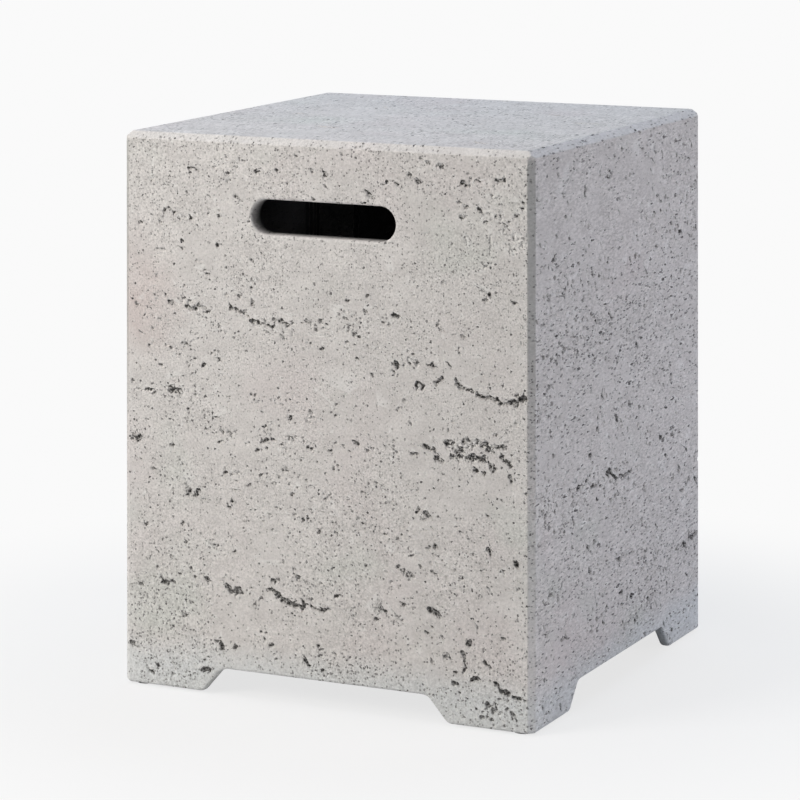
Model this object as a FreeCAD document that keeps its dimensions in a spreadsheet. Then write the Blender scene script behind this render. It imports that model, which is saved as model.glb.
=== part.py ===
import FreeCAD, Part
import math
import os
import Sketcher

# Propane tank cover table: one cast concrete shell, open underneath, on four rubber foot pads.
# Millimetres. X runs along the front face to the right, -Y is the front and Z is up.
# The origin is on the floor, under the middle of the table.

SIZES = {
    # overall form
    "overall_height": 508.0,
    "base_width": 409.0,
    "base_depth": 409.0,
    "outer_draft": 0.68,
    "corner_bevel": 5.5,
    "top_edge_bevel": 6.0,
    # walls and hollow
    "wall_thickness": 10.0,
    "top_thickness": 16.0,
    "inner_draft": 0.9,
    "inner_corner_radius": 55.0,
    "roof_edge_radius": 16.0,
    # notches that leave the four corner feet
    "notch_height": 23.4,
    "notch_half_at_sole": 122.0,
    "notch_half_at_top": 102.0,
    "notch_top_radius": 12.0,
    "foot_heel_radius": 8.0,
    "outer_rim_bevel": 2.0,
    "inner_rim_bevel": 2.0,
    # hand slots, front and back
    "slot_width": 140.0,
    "slot_height": 31.0,
    "slot_drop": 69.5,
    "slot_depth": 19.0,
    "slot_lip_radius": 2.5,
    "slot_inner_bevel": 2.0,
    "collar_margin": 15.0,
    # the largest voids of the travertine face
    "void_depth": 2.4,
    # foot pads
    "pad_radius": 10.0,
    "pad_thickness": 3.0,
    "pad_stand": 2.0,
    "pad_inset": 15.5,
    "pad_side_gap": 0.4,
    "pad_bevel": 0.8,
}

FEET = {
    "foot_pad_front_left": (-1, -1),
    "foot_pad_front_right": (1, -1),
    "foot_pad_back_left": (-1, 1),
    "foot_pad_back_right": (1, 1),
}

# The largest voids and cracks of each face that shows them. Each is a run of stations: place along
# the face, height above the sole, and half width there, with a point at both ends. Places and
# heights are those on a face of the sizes above, and keep their share of the face at other sizes.
FRONT_VOIDS = {
    "edge_crack": (
        (129, 304, 0),
        (137, 299, 3.0),
        (147, 296, 2.0),
        (162, 292, 2.8),
        (176, 290, 2.6),
        (187, 291, 2.0),
        (194, 296, 0),
    ),
    "upper_hollow": ((120, 250, 0), (127, 249, 4.5), (141, 250, 3.5), (155, 252, 3.8), (163, 250, 0)),
    "lower_hollow": ((124, 238, 0), (134, 237, 3.4), (150, 238, 3.0), (159, 236, 3.2), (168, 231, 0)),
    "corner_hollow": ((166, 252, 0), (172, 251, 3.0), (180, 250, 0)),
    "round_void": ((89, 298, 0), (93, 298, 3.5), (98, 299, 0)),
    "slanted_void": ((106, 302, 0), (112, 305, 2.2), (118, 308, 0)),
    "wedge_void": ((-134, 353, 0), (-128, 352, 3.2), (-120, 351, 2.4), (-114, 349, 0)),
    "wandering_crack": (
        (-94, 354, 0),
        (-87, 353, 2.6),
        (-76, 350, 1.8),
        (-69, 344, 2.2),
        (-60, 342, 1.6),
        (-50, 341, 0),
    ),
    "low_crack": ((-58, 101, 0), (-48, 101, 2.4), (-40, 97, 2.2), (-32, 91, 2.6), (-17, 90, 0)),
    "low_hollow": ((-99, 100, 0), (-91, 98, 3.0), (-83, 99, 2.6), (-77, 98, 0)),
    "rough_void": ((-136, 182, 0), (-130, 181, 2.8), (-125, 181, 0)),
    "left_void": ((-194, 229, 0), (-189, 229, 2.6), (-184, 229, 0)),
    "foot_void": ((126, 38, 0), (130, 38, 2.8), (134, 37, 0)),
    "foot_crack": ((166, 42, 0), (174, 37, 2.2), (184, 33, 1.8), (196, 31, 0)),
}

RIGHT_VOIDS = {
    "level_crack": ((-38, 197, 0), (-28, 199, 2.2), (-19, 193, 1.8), (-8, 189, 2.0), (16, 191, 0)),
    "near_void": ((-73, 194, 0), (-66, 193, 2.2), (-59, 193, 0)),
    "high_void": ((-33, 468, 0), (-27, 468, 3.4), (-21, 469, 0)),
    "upper_pit": ((141, 170, 0), (146, 168, 3.0), (150, 167, 0)),
    "middle_pit": ((147, 147, 0), (151, 147, 3.0), (156, 148, 0)),
    "far_pit": ((163, 151, 0), (169, 153, 2.6), (175, 154, 0)),
    "far_crack": ((173, 95, 0), (183, 96, 2.6), (193, 96, 0)),
}

# how near two heights or places must be to count as the same, and a face's lean to count as none
TOUCH = 0.01
LEVEL = 1e-6


def make_sheet(doc):
    """Put every driving dimension in a spreadsheet cell with its own alias."""
    sheet = doc.addObject("Spreadsheet::Sheet", "sizes")
    for row, (alias, value) in enumerate(SIZES.items(), start=1):
        sheet.set(f"A{row}", alias.replace("_", " "))
        sheet.set(f"B{row}", str(value))
        sheet.setAlias(f"B{row}", alias)
    doc.recompute()
    return sheet


def origin_plane(body, role):
    """One of the body's own origin planes."""
    return next(item for item in body.Origin.OriginFeatures if item.Role == role)


def new_sketch(body, name, role):
    """Start a sketch on one of the body's own origin planes."""
    sketch = body.newObject("Sketcher::SketchObject", name)
    sketch.AttachmentSupport = [(origin_plane(body, role), "")]
    sketch.MapMode = "FlatFace"
    return sketch


def drive(sketch, constraint, name, formula):
    """Add a dimension to a sketch and tie it to the spreadsheet."""
    index = sketch.addConstraint(constraint)
    sketch.renameConstraint(index, name)
    sketch.setExpression(f"Constraints.{name}", formula)


def add_lines(sketch, corners):
    """Add a closed run of lines through the corners, joined end to end."""
    count = len(corners)
    points = [FreeCAD.Vector(x, y, 0) for x, y in corners]
    for i in range(count):
        sketch.addGeometry(Part.LineSegment(points[i], points[(i + 1) % count]))
    for i in range(count):
        sketch.addConstraint(Sketcher.Constraint("Coincident", i, 2, (i + 1) % count, 1))


def rectangle(body, name, width, depth):
    """Sketch a rectangle about the origin on the sole plane."""
    sketch = new_sketch(body, name, "XY_Plane")
    add_lines(sketch, [(-9, -9), (9, -9), (9, 9), (-9, 9)])
    for line, way in enumerate(("Horizontal", "Vertical", "Horizontal", "Vertical")):
        sketch.addConstraint(Sketcher.Constraint(way, line))
    sketch.addConstraint(Sketcher.Constraint("Symmetric", 0, 1, 2, 1, -1, 1))
    drive(sketch, Sketcher.Constraint("DistanceX", 0, 1, 0, 2, 18.0), "width", width)
    drive(sketch, Sketcher.Constraint("DistanceY", 1, 1, 1, 2, 18.0), "depth", depth)
    return sketch


def notch_outline(body, name, role):
    """Sketch the notch under one pair of walls: a trapezoid that stands on the floor."""
    sketch = new_sketch(body, name, role)
    add_lines(sketch, [(-12, 0), (12, 0), (10, 5), (-10, 5)])
    sketch.addConstraint(Sketcher.Constraint("Symmetric", 0, 1, 0, 2, -2))
    sketch.addConstraint(Sketcher.Constraint("Symmetric", 2, 1, 2, 2, -2))
    sketch.addConstraint(Sketcher.Constraint("PointOnObject", 0, 1, -1))
    drive(sketch, Sketcher.Constraint("DistanceX", 0, 1, 0, 2, 24.0), "sole", "2 * sizes.notch_half_at_sole")
    drive(sketch, Sketcher.Constraint("DistanceX", 2, 2, 2, 1, 20.0), "top", "2 * sizes.notch_half_at_top")
    drive(sketch, Sketcher.Constraint("DistanceY", 1, 1, 1, 2, 5.0), "rise", "sizes.notch_height")
    return sketch


def stadium(body, name, width, height):
    """Sketch a round-ended slot outline at the height of the hand slots, on the XZ plane."""
    sketch = new_sketch(body, name, "XZ_Plane")
    vector = FreeCAD.Vector
    low, high, reach = 96.0, 104.0, 20.0
    middle = (low + high) / 2
    bulge = (high - low) / 2
    sketch.addGeometry(Part.LineSegment(vector(-reach, low, 0), vector(reach, low, 0)))
    sketch.addGeometry(
        Part.Arc(vector(reach, low, 0), vector(reach + bulge, middle, 0), vector(reach, high, 0))
    )
    sketch.addGeometry(Part.LineSegment(vector(reach, high, 0), vector(-reach, high, 0)))
    sketch.addGeometry(
        Part.Arc(vector(-reach, high, 0), vector(-reach - bulge, middle, 0), vector(-reach, low, 0))
    )
    for i in range(4):
        sketch.addConstraint(Sketcher.Constraint("Tangent", i, 2, (i + 1) % 4, 1))
    sketch.addConstraint(Sketcher.Constraint("Equal", 1, 3))
    sketch.addConstraint(Sketcher.Constraint("Symmetric", 0, 1, 0, 2, -2))
    drive(sketch, Sketcher.Constraint("Radius", 1, 4.0), "end_radius", f"({height}) / 2")
    drive(
        sketch,
        Sketcher.Constraint("DistanceX", 0, 1, 0, 2, 40.0),
        "straight",
        f"({width}) - ({height})",
    )
    drive(
        sketch,
        Sketcher.Constraint("DistanceY", -1, 1, 1, 3, 100.0),
        "centre_height",
        "sizes.overall_height - sizes.pad_stand - sizes.slot_drop",
    )
    return sketch


def corner_circles(body, name, radius):
    """Sketch one circle over each foot pad's place on the sole plane."""
    sketch = new_sketch(body, name, "XY_Plane")
    for i, (side, end) in enumerate(FEET.values()):
        centre = FreeCAD.Vector(30.0 * side, 30.0 * end, 0)
        sketch.addGeometry(Part.Circle(centre, FreeCAD.Vector(0, 0, 1), 5.0))
        drive(sketch, Sketcher.Constraint("Radius", i, 5.0), f"radius_{i}", radius)
        # a distance is written from the smaller coordinate to the larger one
        across = (-1, 1, i, 3) if side > 0 else (i, 3, -1, 1)
        along = (-1, 1, i, 3) if end > 0 else (i, 3, -1, 1)
        drive(
            sketch,
            Sketcher.Constraint("DistanceX", *across, 30.0),
            f"across_{i}",
            "sizes.base_width / 2 - sizes.pad_inset",
        )
        drive(
            sketch,
            Sketcher.Constraint("DistanceY", *along, 30.0),
            f"along_{i}",
            "sizes.base_depth / 2 - sizes.pad_inset",
        )
    return sketch


def pad(body, name, sketch, length):
    """Raise a sketch into the body."""
    feature = body.newObject("PartDesign::Pad", name)
    feature.Profile = sketch
    feature.setExpression("Length", length)
    body.Document.recompute()
    return feature


def pocket(body, name, sketch, length, flip=False, both=False):
    """Cut a sketch out of the body, and make sure that it really cut."""
    before = body.Shape.Volume
    feature = body.newObject("PartDesign::Pocket", name)
    feature.Profile = sketch
    feature.Reversed = flip
    feature.SideType = "Symmetric" if both else "One side"
    feature.setExpression("Length", length)
    body.Document.recompute()
    if not feature.Shape.Volume < before:
        raise RuntimeError(f"{name} cuts nothing")
    return feature


def lean_walls(body, name, base, angle, flip=False):
    """Give the walls that still stand plumb their mould draft, hinged at the sole plane."""
    plumb = []
    for i, face in enumerate(base.Shape.Faces, start=1):
        if abs(face.normalAt(0, 0).z) < LEVEL:
            plumb.append(f"Face{i}")
    feature = body.newObject("PartDesign::Draft", name)
    feature.Base = (base, plumb)
    feature.NeutralPlane = (origin_plane(body, "XY_Plane"), [""])
    feature.Reversed = flip
    feature.setExpression("Angle", angle)
    body.Document.recompute()
    return feature


def fillet(body, name, base, edges, radius):
    """Round the chosen edges of the last feature."""
    if not edges:
        raise RuntimeError(f"{name} found no edge")
    feature = body.newObject("PartDesign::Fillet", name)
    feature.Base = (base, edges)
    feature.setExpression("Radius", radius)
    body.Document.recompute()
    return feature


def chamfer(body, name, base, edges, size):
    """Bevel the chosen edges of the last feature."""
    if not edges:
        raise RuntimeError(f"{name} found no edge")
    feature = body.newObject("PartDesign::Chamfer", name)
    feature.Base = (base, edges)
    feature.setExpression("Size", size)
    body.Document.recompute()
    return feature


def edges_where(shape, test):
    """Name the edges whose two ends and middle all pass the test."""
    names = []
    for i, edge in enumerate(shape.Edges, start=1):
        first, last = edge.ParameterRange
        points = [edge.valueAt(first + (last - first) * share) for share in (0.0, 0.5, 1.0)]
        if all(test(point) for point in points):
            names.append(f"Edge{i}")
    return names


def upright(shape, low, high):
    """Name the edges that climb from near one height to near another."""
    names = []
    for i, edge in enumerate(shape.Edges, start=1):
        heights = sorted(vertex.Z for vertex in edge.Vertexes)
        if len(heights) == 2 and abs(heights[0] - low) < TOUCH and abs(heights[1] - high) < TOUCH:
            names.append(f"Edge{i}")
    return names


def depth_below_face(point):
    """How far a point lies inside the nearest outer wall face."""
    lean = point.z * math.tan(math.radians(SIZES["outer_draft"]))
    across = SIZES["base_width"] / 2 - lean - abs(point.x)
    along = SIZES["base_depth"] / 2 - lean - abs(point.y)
    return min(across, along)


def make_block(body):
    """The outer form: a block that narrows upwards."""
    outline = rectangle(body, "outer_outline", "sizes.base_width", "sizes.base_depth")
    block = pad(body, "outer_block", outline, "sizes.overall_height - sizes.pad_stand")
    return lean_walls(body, "outer_lean", block, "sizes.outer_draft")


def make_hollow(body):
    """The tank space: open at the floor, with its own draft and generous inner corners."""
    roof = SIZES["overall_height"] - SIZES["pad_stand"] - SIZES["top_thickness"]
    outline = rectangle(
        body,
        "hollow_outline",
        "sizes.base_width - 2 * sizes.wall_thickness",
        "sizes.base_depth - 2 * sizes.wall_thickness",
    )
    hollow = pocket(
        body,
        "tank_hollow",
        outline,
        "sizes.overall_height - sizes.pad_stand - sizes.top_thickness",
        flip=True,
    )
    walls = lean_walls(body, "inner_lean", hollow, "sizes.inner_draft", flip=True)
    corners = fillet(
        body,
        "inner_corner_rounds",
        walls,
        upright(walls.Shape, 0.0, roof),
        "sizes.inner_corner_radius",
    )
    brim = edges_where(corners.Shape, lambda p: abs(p.z - roof) < TOUCH)
    return fillet(body, "roof_edge_rounds", corners, brim, "sizes.roof_edge_radius")


def bevel_block(body, base):
    """The flat bevels along the top edge and down the four corners."""
    rise = SIZES["overall_height"] - SIZES["pad_stand"]
    brim = edges_where(base.Shape, lambda p: abs(p.z - rise) < TOUCH)
    topped = chamfer(body, "top_edge_bevel", base, brim, "sizes.top_edge_bevel")
    corners = upright(topped.Shape, 0.0, rise - SIZES["top_edge_bevel"])
    return chamfer(body, "corner_bevels", topped, corners, "sizes.corner_bevel")


def make_notches(body):
    """One notch under each wall, which leaves a foot at each corner."""
    cuts = (
        ("front_back_notch", "XZ_Plane", "sizes.base_depth"),
        ("side_notch", "YZ_Plane", "sizes.base_width"),
    )
    for name, role, length in cuts:
        outline = notch_outline(body, f"{name}_outline", role)
        last = pocket(body, name, outline, f"{length} + 2 * sizes.wall_thickness", both=True)

    def runs_through(height, reach):
        def test(point):
            level = abs(point.z - height) < TOUCH
            return level and min(abs(abs(point.x) - reach), abs(abs(point.y) - reach)) < TOUCH

        return test

    heels = edges_where(last.Shape, runs_through(0.0, SIZES["notch_half_at_sole"]))
    last = fillet(body, "heel_rounds", last, heels, "sizes.foot_heel_radius")
    crooks = edges_where(
        last.Shape, runs_through(SIZES["notch_height"], SIZES["notch_half_at_top"])
    )
    return fillet(body, "notch_top_rounds", last, crooks, "sizes.notch_top_radius")


def round_rims(body, base):
    """Soften the foot line all round, outside first and then inside."""
    low = SIZES["notch_height"] + TOUCH
    half_wall = SIZES["wall_thickness"] / 2
    outer = edges_where(base.Shape, lambda p: p.z < low and depth_below_face(p) < half_wall)
    rim = chamfer(body, "outer_rim_bevel", base, outer, "sizes.outer_rim_bevel")
    inner = edges_where(rim.Shape, lambda p: p.z < low and depth_below_face(p) > half_wall)
    return chamfer(body, "inner_rim_bevel", rim, inner, "sizes.inner_rim_bevel")


def make_slots(body):
    """A hand slot through the front and back walls, each with a thicker collar inside."""
    margin = "2 * sizes.collar_margin"
    collar_outline = stadium(
        body,
        "collar_outline",
        f"sizes.slot_width + {margin}",
        f"sizes.slot_height + {margin}",
    )
    rise = "(sizes.overall_height - sizes.pad_stand - sizes.slot_drop)"
    face = f"(sizes.base_depth / 2 - {rise} * tan(sizes.outer_draft * 1 deg))"
    collar_outline.setExpression("AttachmentOffset.Base.z", f"{face} - sizes.slot_depth")
    collar = pad(body, "front_collar", collar_outline, "sizes.slot_depth - sizes.wall_thickness / 2")
    twin = body.newObject("PartDesign::Mirrored", "back_collar")
    twin.Originals = [collar]
    twin.MirrorPlane = (origin_plane(body, "XZ_Plane"), [""])
    body.Tip = twin
    body.Document.recompute()
    slot_outline = stadium(body, "slot_outline", "sizes.slot_width", "sizes.slot_height")
    slots = pocket(body, "hand_slots", slot_outline, "2 * sizes.base_depth", both=True)
    centre = SIZES["overall_height"] - SIZES["pad_stand"] - SIZES["slot_drop"]

    def on_slot(point):
        straight = max(abs(point.x) - (SIZES["slot_width"] - SIZES["slot_height"]) / 2, 0.0)
        return abs(math.hypot(straight, point.z - centre) - SIZES["slot_height"] / 2) < TOUCH

    def outside(point):
        return on_slot(point) and depth_below_face(point) < SIZES["slot_depth"] / 2

    lips = edges_where(slots.Shape, outside)
    lips = fillet(body, "slot_lips", slots, lips, "sizes.slot_lip_radius")

    def inside(point):
        return on_slot(point) and depth_below_face(point) > SIZES["slot_depth"] / 2

    rims = edges_where(lips.Shape, inside)
    return chamfer(body, "slot_inner_bevels", lips, rims, "sizes.slot_inner_bevel")


def void_corners(stations):
    """The outline of one void: out along its lower side and back along its upper side."""
    inner = stations[1:-1]
    lower = [(place, level - half) for place, level, half in inner]
    upper = [(place, level + half) for place, level, half in reversed(inner)]
    return [stations[0][:2], *lower, stations[-1][:2], *upper]


def cut_voids(body, name, role, voids, width, reach):
    """Cut the voids of one leaning face from a sketch that lies on it, all to one depth."""
    sketch = new_sketch(body, f"{name}_outline", role)
    sketch.AttachmentOffset = FreeCAD.Placement(
        FreeCAD.Vector(0, 0, 0), FreeCAD.Rotation(FreeCAD.Vector(1, 0, 0), -1.0)
    )
    sketch.setExpression("AttachmentOffset.Base.z", f"sizes.{reach} / 2")
    sketch.setExpression("AttachmentOffset.Rotation.Angle", "-sizes.outer_draft")
    rise = SIZES["overall_height"] - SIZES["pad_stand"]
    joins, places, formulas = [], [], []
    for stations in voids.values():
        corners = void_corners(stations)
        first, count = len(joins), len(corners)
        for i, (place, level) in enumerate(corners):
            following = (i + 1) % count
            start = FreeCAD.Vector(place, level, 0)
            end = FreeCAD.Vector(*corners[following], 0)
            sketch.addGeometry(Part.LineSegment(start, end))
            joins.append(Sketcher.Constraint("Coincident", first + i, 2, first + following, 1))
            across = (-1, 1, first + i, 1) if place > 0 else (first + i, 1, -1, 1)
            places.append(Sketcher.Constraint("DistanceX", *across, abs(place)))
            formulas.append(f"sizes.{width} * {abs(place) / SIZES[width]:.6f}")
            places.append(Sketcher.Constraint("DistanceY", -1, 1, first + i, 1, level))
            formulas.append(f"(sizes.overall_height - sizes.pad_stand) * {level / rise:.6f}")
    sketch.addConstraint(joins)
    for index, formula in zip(sketch.addConstraint(places), formulas):
        sketch.setExpression(f"Constraints[{index}]", formula)
    return pocket(body, name, sketch, "sizes.void_depth")


def make_voids(body):
    """The travertine face's largest voids, which the mould's inserts leave in the casting."""
    cut_voids(body, "front_voids", "XZ_Plane", FRONT_VOIDS, "base_width", "base_depth")
    return cut_voids(body, "right_voids", "YZ_Plane", RIGHT_VOIDS, "base_depth", "base_width")


def make_pad_seats(body):
    """A shallow round seat in the sole of each foot for its rubber pad."""
    outline = corner_circles(body, "seat_outline", "sizes.pad_radius + sizes.pad_side_gap")
    return pocket(
        body, "pad_seats", outline, "sizes.pad_thickness - sizes.pad_stand", flip=True
    )


def make_shell(doc):
    """The casting, modelled with its sole at height 0 and then lifted by the pads."""
    body = doc.addObject("PartDesign::Body", "cover_shell")
    body.Label = "cover_shell"
    make_block(body)
    hollowed = make_hollow(body)
    bevel_block(body, hollowed)
    notched = make_notches(body)
    round_rims(body, notched)
    make_slots(body)
    make_voids(body)
    make_pad_seats(body)
    body.setExpression("Placement.Base.z", "sizes.pad_stand")
    return body


def make_foot_pad(doc, label, side, end):
    """A stick-on rubber disc with a bevelled lower rim."""
    body = doc.addObject("PartDesign::Body", label)
    body.Label = label
    sketch = new_sketch(body, f"{label}_outline", "XY_Plane")
    sketch.addGeometry(Part.Circle(FreeCAD.Vector(0, 0, 0), FreeCAD.Vector(0, 0, 1), 5.0))
    sketch.addConstraint(Sketcher.Constraint("Coincident", 0, 3, -1, 1))
    drive(sketch, Sketcher.Constraint("Radius", 0, 5.0), "radius", "sizes.pad_radius")
    disc = pad(body, f"{label}_disc", sketch, "sizes.pad_thickness")
    lower = edges_where(disc.Shape, lambda p: abs(p.z) < TOUCH)
    chamfer(body, f"{label}_bevel", disc, lower, "sizes.pad_bevel")
    body.setExpression("Placement.Base.x", f"{side} * (sizes.base_width / 2 - sizes.pad_inset)")
    body.setExpression("Placement.Base.y", f"{end} * (sizes.base_depth / 2 - sizes.pad_inset)")
    return body


def write_parts(doc, bodies):
    """Check every object and solid, then write one STEP file for each piece."""
    doc.recompute()
    for item in doc.Objects:
        if "Invalid" in item.State or "Error" in item.State:
            raise RuntimeError(f"{item.Name} failed: {item.State}")
    for body in bodies:
        shape = body.Shape
        if shape.isNull() or not shape.isValid() or len(shape.Solids) != 1:
            raise RuntimeError(f"{body.Label} is not one valid solid")
    os.makedirs("parts", exist_ok=True)
    for body in bodies:
        body.Shape.exportStep(f"parts/{body.Label}.step")
        box = body.Shape.BoundBox
        print(body.Label, round(body.Shape.Volume), round(box.ZMin, 3), round(box.ZMax, 3))


doc = FreeCAD.newDocument("tank_cover_table")
make_sheet(doc)
pieces = [make_shell(doc)]
for label, (side, end) in FEET.items():
    pieces.append(make_foot_pad(doc, label, side, end))
write_parts(doc, pieces)
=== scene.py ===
import bpy
import numpy as np
from mathutils import Matrix, Vector


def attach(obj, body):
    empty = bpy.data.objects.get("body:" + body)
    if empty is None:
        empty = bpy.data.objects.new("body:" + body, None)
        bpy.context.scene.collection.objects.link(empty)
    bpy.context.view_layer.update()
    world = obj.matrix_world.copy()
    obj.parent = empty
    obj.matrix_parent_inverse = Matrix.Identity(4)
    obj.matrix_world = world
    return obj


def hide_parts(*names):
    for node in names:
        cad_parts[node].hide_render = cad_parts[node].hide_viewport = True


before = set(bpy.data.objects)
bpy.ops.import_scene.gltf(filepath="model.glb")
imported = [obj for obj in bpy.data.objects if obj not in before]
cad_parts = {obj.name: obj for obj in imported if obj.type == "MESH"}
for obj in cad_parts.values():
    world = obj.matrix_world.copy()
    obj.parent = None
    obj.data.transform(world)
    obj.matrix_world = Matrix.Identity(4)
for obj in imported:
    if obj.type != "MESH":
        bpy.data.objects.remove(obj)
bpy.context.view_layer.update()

# Cover shell. The real piece is one casting of glass-fibre concrete, poured upside down in a mould
# with draft, and pitted like travertine. Here it is one skin, carried from the table top over the
# outside, round the foot line and up the inside, with its voids carved into it.

MM = 0.001

# the outside: RIDGE rounds the two ridges of each bevel
HEIGHT = 508 * MM
SOLE = 2 * MM
BASE_HALF = 204.5 * MM
OUTER_LEAN = np.tan(np.radians(0.68))
CORNER_BEVEL = 5.5 * MM
LEAST_BEVEL = 0.9 * MM
TOP_BEVEL = 6 * MM
RIDGE = 2 * MM

# the hollow
INNER_HALF = 194.5 * MM
INNER_LEAN = np.tan(np.radians(0.9))
INNER_ROUND = 55 * MM
ROOF = 492 * MM
ROOF_ROUND = 16 * MM

# the foot line: its rims, and half of each notch at its top and at the sole
OUTER_RIM = 3 * MM
INNER_RIM = 3 * MM
NOTCH_TOP = 23.4 * MM
NOTCH_REACH = 102 * MM
NOTCH_FOOT = 122 * MM
NOTCH_CROOK = 12 * MM
HEEL_ROUND = 8 * MM

# the mesh: the spacing of its rows and columns, half of a wall's straight middle part, and how many
# triangles are kept
CELL = 1.05 * MM
SPAN = 130 * MM
TRIANGLES_KEPT = 192000

# the way along each wall as seen from outside, and the way out of it: front, right, back, left
ALONG = np.array([(1, 0), (0, 1), (-1, 0), (0, -1)], float)
OUTWARD = np.array([(0, -1), (1, 0), (0, 1), (-1, 0)], float)

LATTICE_SIZE = 256
LATTICE = np.random.default_rng(11).random((LATTICE_SIZE, LATTICE_SIZE))

# a void's outline is shaken by lumps and grains, sways and swells, and its floor has grooves and
# knobs: the size of each of these in the noise that makes it
LUMPS, GRAINS, SWAY, SWELL, GROOVES, KNOBS = np.array((3.0, 1.2, 6.0, 4.5, 4.2, 2.0)) * MM


def s_curve(x):
    """0 below 0, 1 above 1, and 3x^2 - 2x^3 between."""
    x = np.clip(x, 0, 1)
    return x * x * (3 - 2 * x)


def noise(u, v, cell, shift=0):
    """Random heights from -1 to 1 on a square lattice, joined by an S-curve between its lines."""
    a, b = u / cell + 31.7 * shift, v / cell + 17.9 * shift
    i, j = np.floor(a).astype(int), np.floor(b).astype(int)
    p, q = s_curve(a - i), s_curve(b - j)
    i, j = np.stack((i, i + 1)) % LATTICE_SIZE, np.stack((j, j + 1)) % LATTICE_SIZE
    low = LATTICE[i[0], j[0]] * (1 - p) + LATTICE[i[1], j[0]] * p
    high = LATTICE[i[0], j[1]] * (1 - p) + LATTICE[i[1], j[1]] * p
    return 2 * (low * (1 - q) + high * q) - 1


def rough(u, v, cell, shift=0):
    """Three layers of noise, each half the size and half the height of the one before."""
    layers = [noise(u, v, cell / 2**k, shift + 5 * k) / 2**k for k in range(3)]
    return sum(layers) / 1.75


def to_segments(u, v, line):
    """The distance from each point to a bent line: the least over its straight runs."""
    line = np.asarray(line, float) * MM
    if len(line) == 1:
        return np.hypot(u - line[0, 0], v - line[0, 1])
    best = np.full(u.shape, 1.0)
    for start, end in zip(line[:-1], line[1:]):
        run = end - start
        from_u, from_v = u - start[0], v - start[1]
        along = np.clip((from_u * run[0] + from_v * run[1]) / (run @ run), 0, 1)
        best = np.minimum(best, np.hypot(from_u - along * run[0], from_v - along * run[1]))
    return best


# a map reaches this far to each side of a face's middle
FACE_HALF = 0.206


class FaceMap:
    """How deep each spot of one face lies below the mould's plane, on a square grid of spots."""

    step = 0.5 * MM

    def __init__(self, low, high, seed):
        self.u = np.arange(-FACE_HALF, FACE_HALF, self.step)
        self.v = np.arange(low, high, self.step)
        self.depth = np.zeros((len(self.v), len(self.u)))
        self.seed = seed

    def carve(self, line, width, deep):
        """Cut a hollow where the distance to a line, shaken by noise, is under the half width. Its
        wall is steep. A wide hollow keeps a shallow floor, with a deep groove along its wall and
        narrow winding grooves where a second noise is near zero."""
        places = np.asarray(line, float) * MM
        half, margin = width * MM * 0.42, (width + 4) * MM
        i0, i1 = np.searchsorted(self.u, (places[:, 0].min() - margin, places[:, 0].max() + margin))
        j0, j1 = np.searchsorted(self.v, (places[:, 1].min() - margin, places[:, 1].max() + margin))
        if i1 <= i0 or j1 <= j0:
            return
        u, v = np.meshgrid(self.u[i0:i1], self.v[j0:j1])
        self.seed += 1
        shake = 0.7 * (np.minimum(half, 1.9 * MM) + 0.3 * MM)
        sway = 1.3 * MM * min(1, (len(line) - 1) / 2)
        du = rough(u, v, LUMPS, self.seed) + 0.8 * noise(u, v, GRAINS, self.seed)
        dv = rough(u, v, LUMPS, self.seed + 3) + 0.8 * noise(u, v, GRAINS, self.seed + 4)
        dv = shake * dv + sway * noise(u, v, SWAY, self.seed + 5)
        swell = half * (0.8 + 0.75 * noise(u, v, SWELL, self.seed + 7))
        within = swell - to_segments(u + shake * du, v + dv, line)
        wall = s_curve(within / (0.7 * MM) + 0.45)
        wide = s_curve((width - 4.2) / 1.6)
        moat = np.exp(-((within / (0.75 * MM)) ** 2))
        grooves = s_curve((0.34 - np.abs(rough(u, v, GROOVES, self.seed + 9))) / 0.3)
        floor = 0.16 + 0.84 * np.maximum(0.85 * moat, grooves)
        knobs = 1 + 0.5 * rough(u, v, KNOBS, self.seed + 12)
        hollow = wall * deep * MM * (1 - wide + wide * floor) * knobs
        patch = self.depth[j0:j1, i0:i1]
        np.maximum(patch, hollow, out=patch)

    def carve_all(self, voids):
        """Cut each listed void: its width, its depth and the places that it passes, all in mm."""
        for width, deep, *line in voids:
            self.carve(line, width, deep)

    def pepper(self, count, beds, size=(0.6, 1.35)):
        """Scatter small pits, alone or in twos and threes, with half widths between the two sizes:
        most lie in level beds, the rest anywhere."""
        draw = np.random.default_rng(self.seed)
        low, high = self.v[0] / MM, self.v[-1] / MM
        for _ in range(count):
            u = draw.uniform(-198, 198)
            v = draw.uniform(low + 3, high - 3)
            if draw.random() < 0.6:
                left, right, level, thick = beds[draw.integers(len(beds))]
                u = draw.uniform(left, right)
                v = level + thick * draw.normal() + 3 * np.sin(u / 37 + level)
            for _ in range(draw.integers(1, 4)):
                radius = size[0] + (size[1] - size[0]) * draw.random() ** 2.5
                reach = radius * draw.uniform(0, 0.9)
                tilt = draw.normal() * 0.4
                ends = ((u - reach, v - reach * tilt), (u + reach, v + reach * tilt))
                self.carve(ends, 2 * radius, radius * draw.uniform(0.9, 1.6))
                u, v = u + draw.normal() * 3.5, v + draw.normal() * 2.2

    def read(self, u, v):
        """The depth at any place, blended between the four nearest spots."""
        a = np.clip((u - self.u[0]) / self.step, 0, len(self.u) - 1.001)
        b = np.clip((v - self.v[0]) / self.step, 0, len(self.v) - 1.001)
        i, j = a.astype(int), b.astype(int)
        p, q = a - i, b - j
        low = self.depth[j, i] * (1 - p) + self.depth[j, i + 1] * p
        high = self.depth[j + 1, i] * (1 - p) + self.depth[j + 1, i + 1] * p
        return low * (1 - q) + high * q


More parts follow.
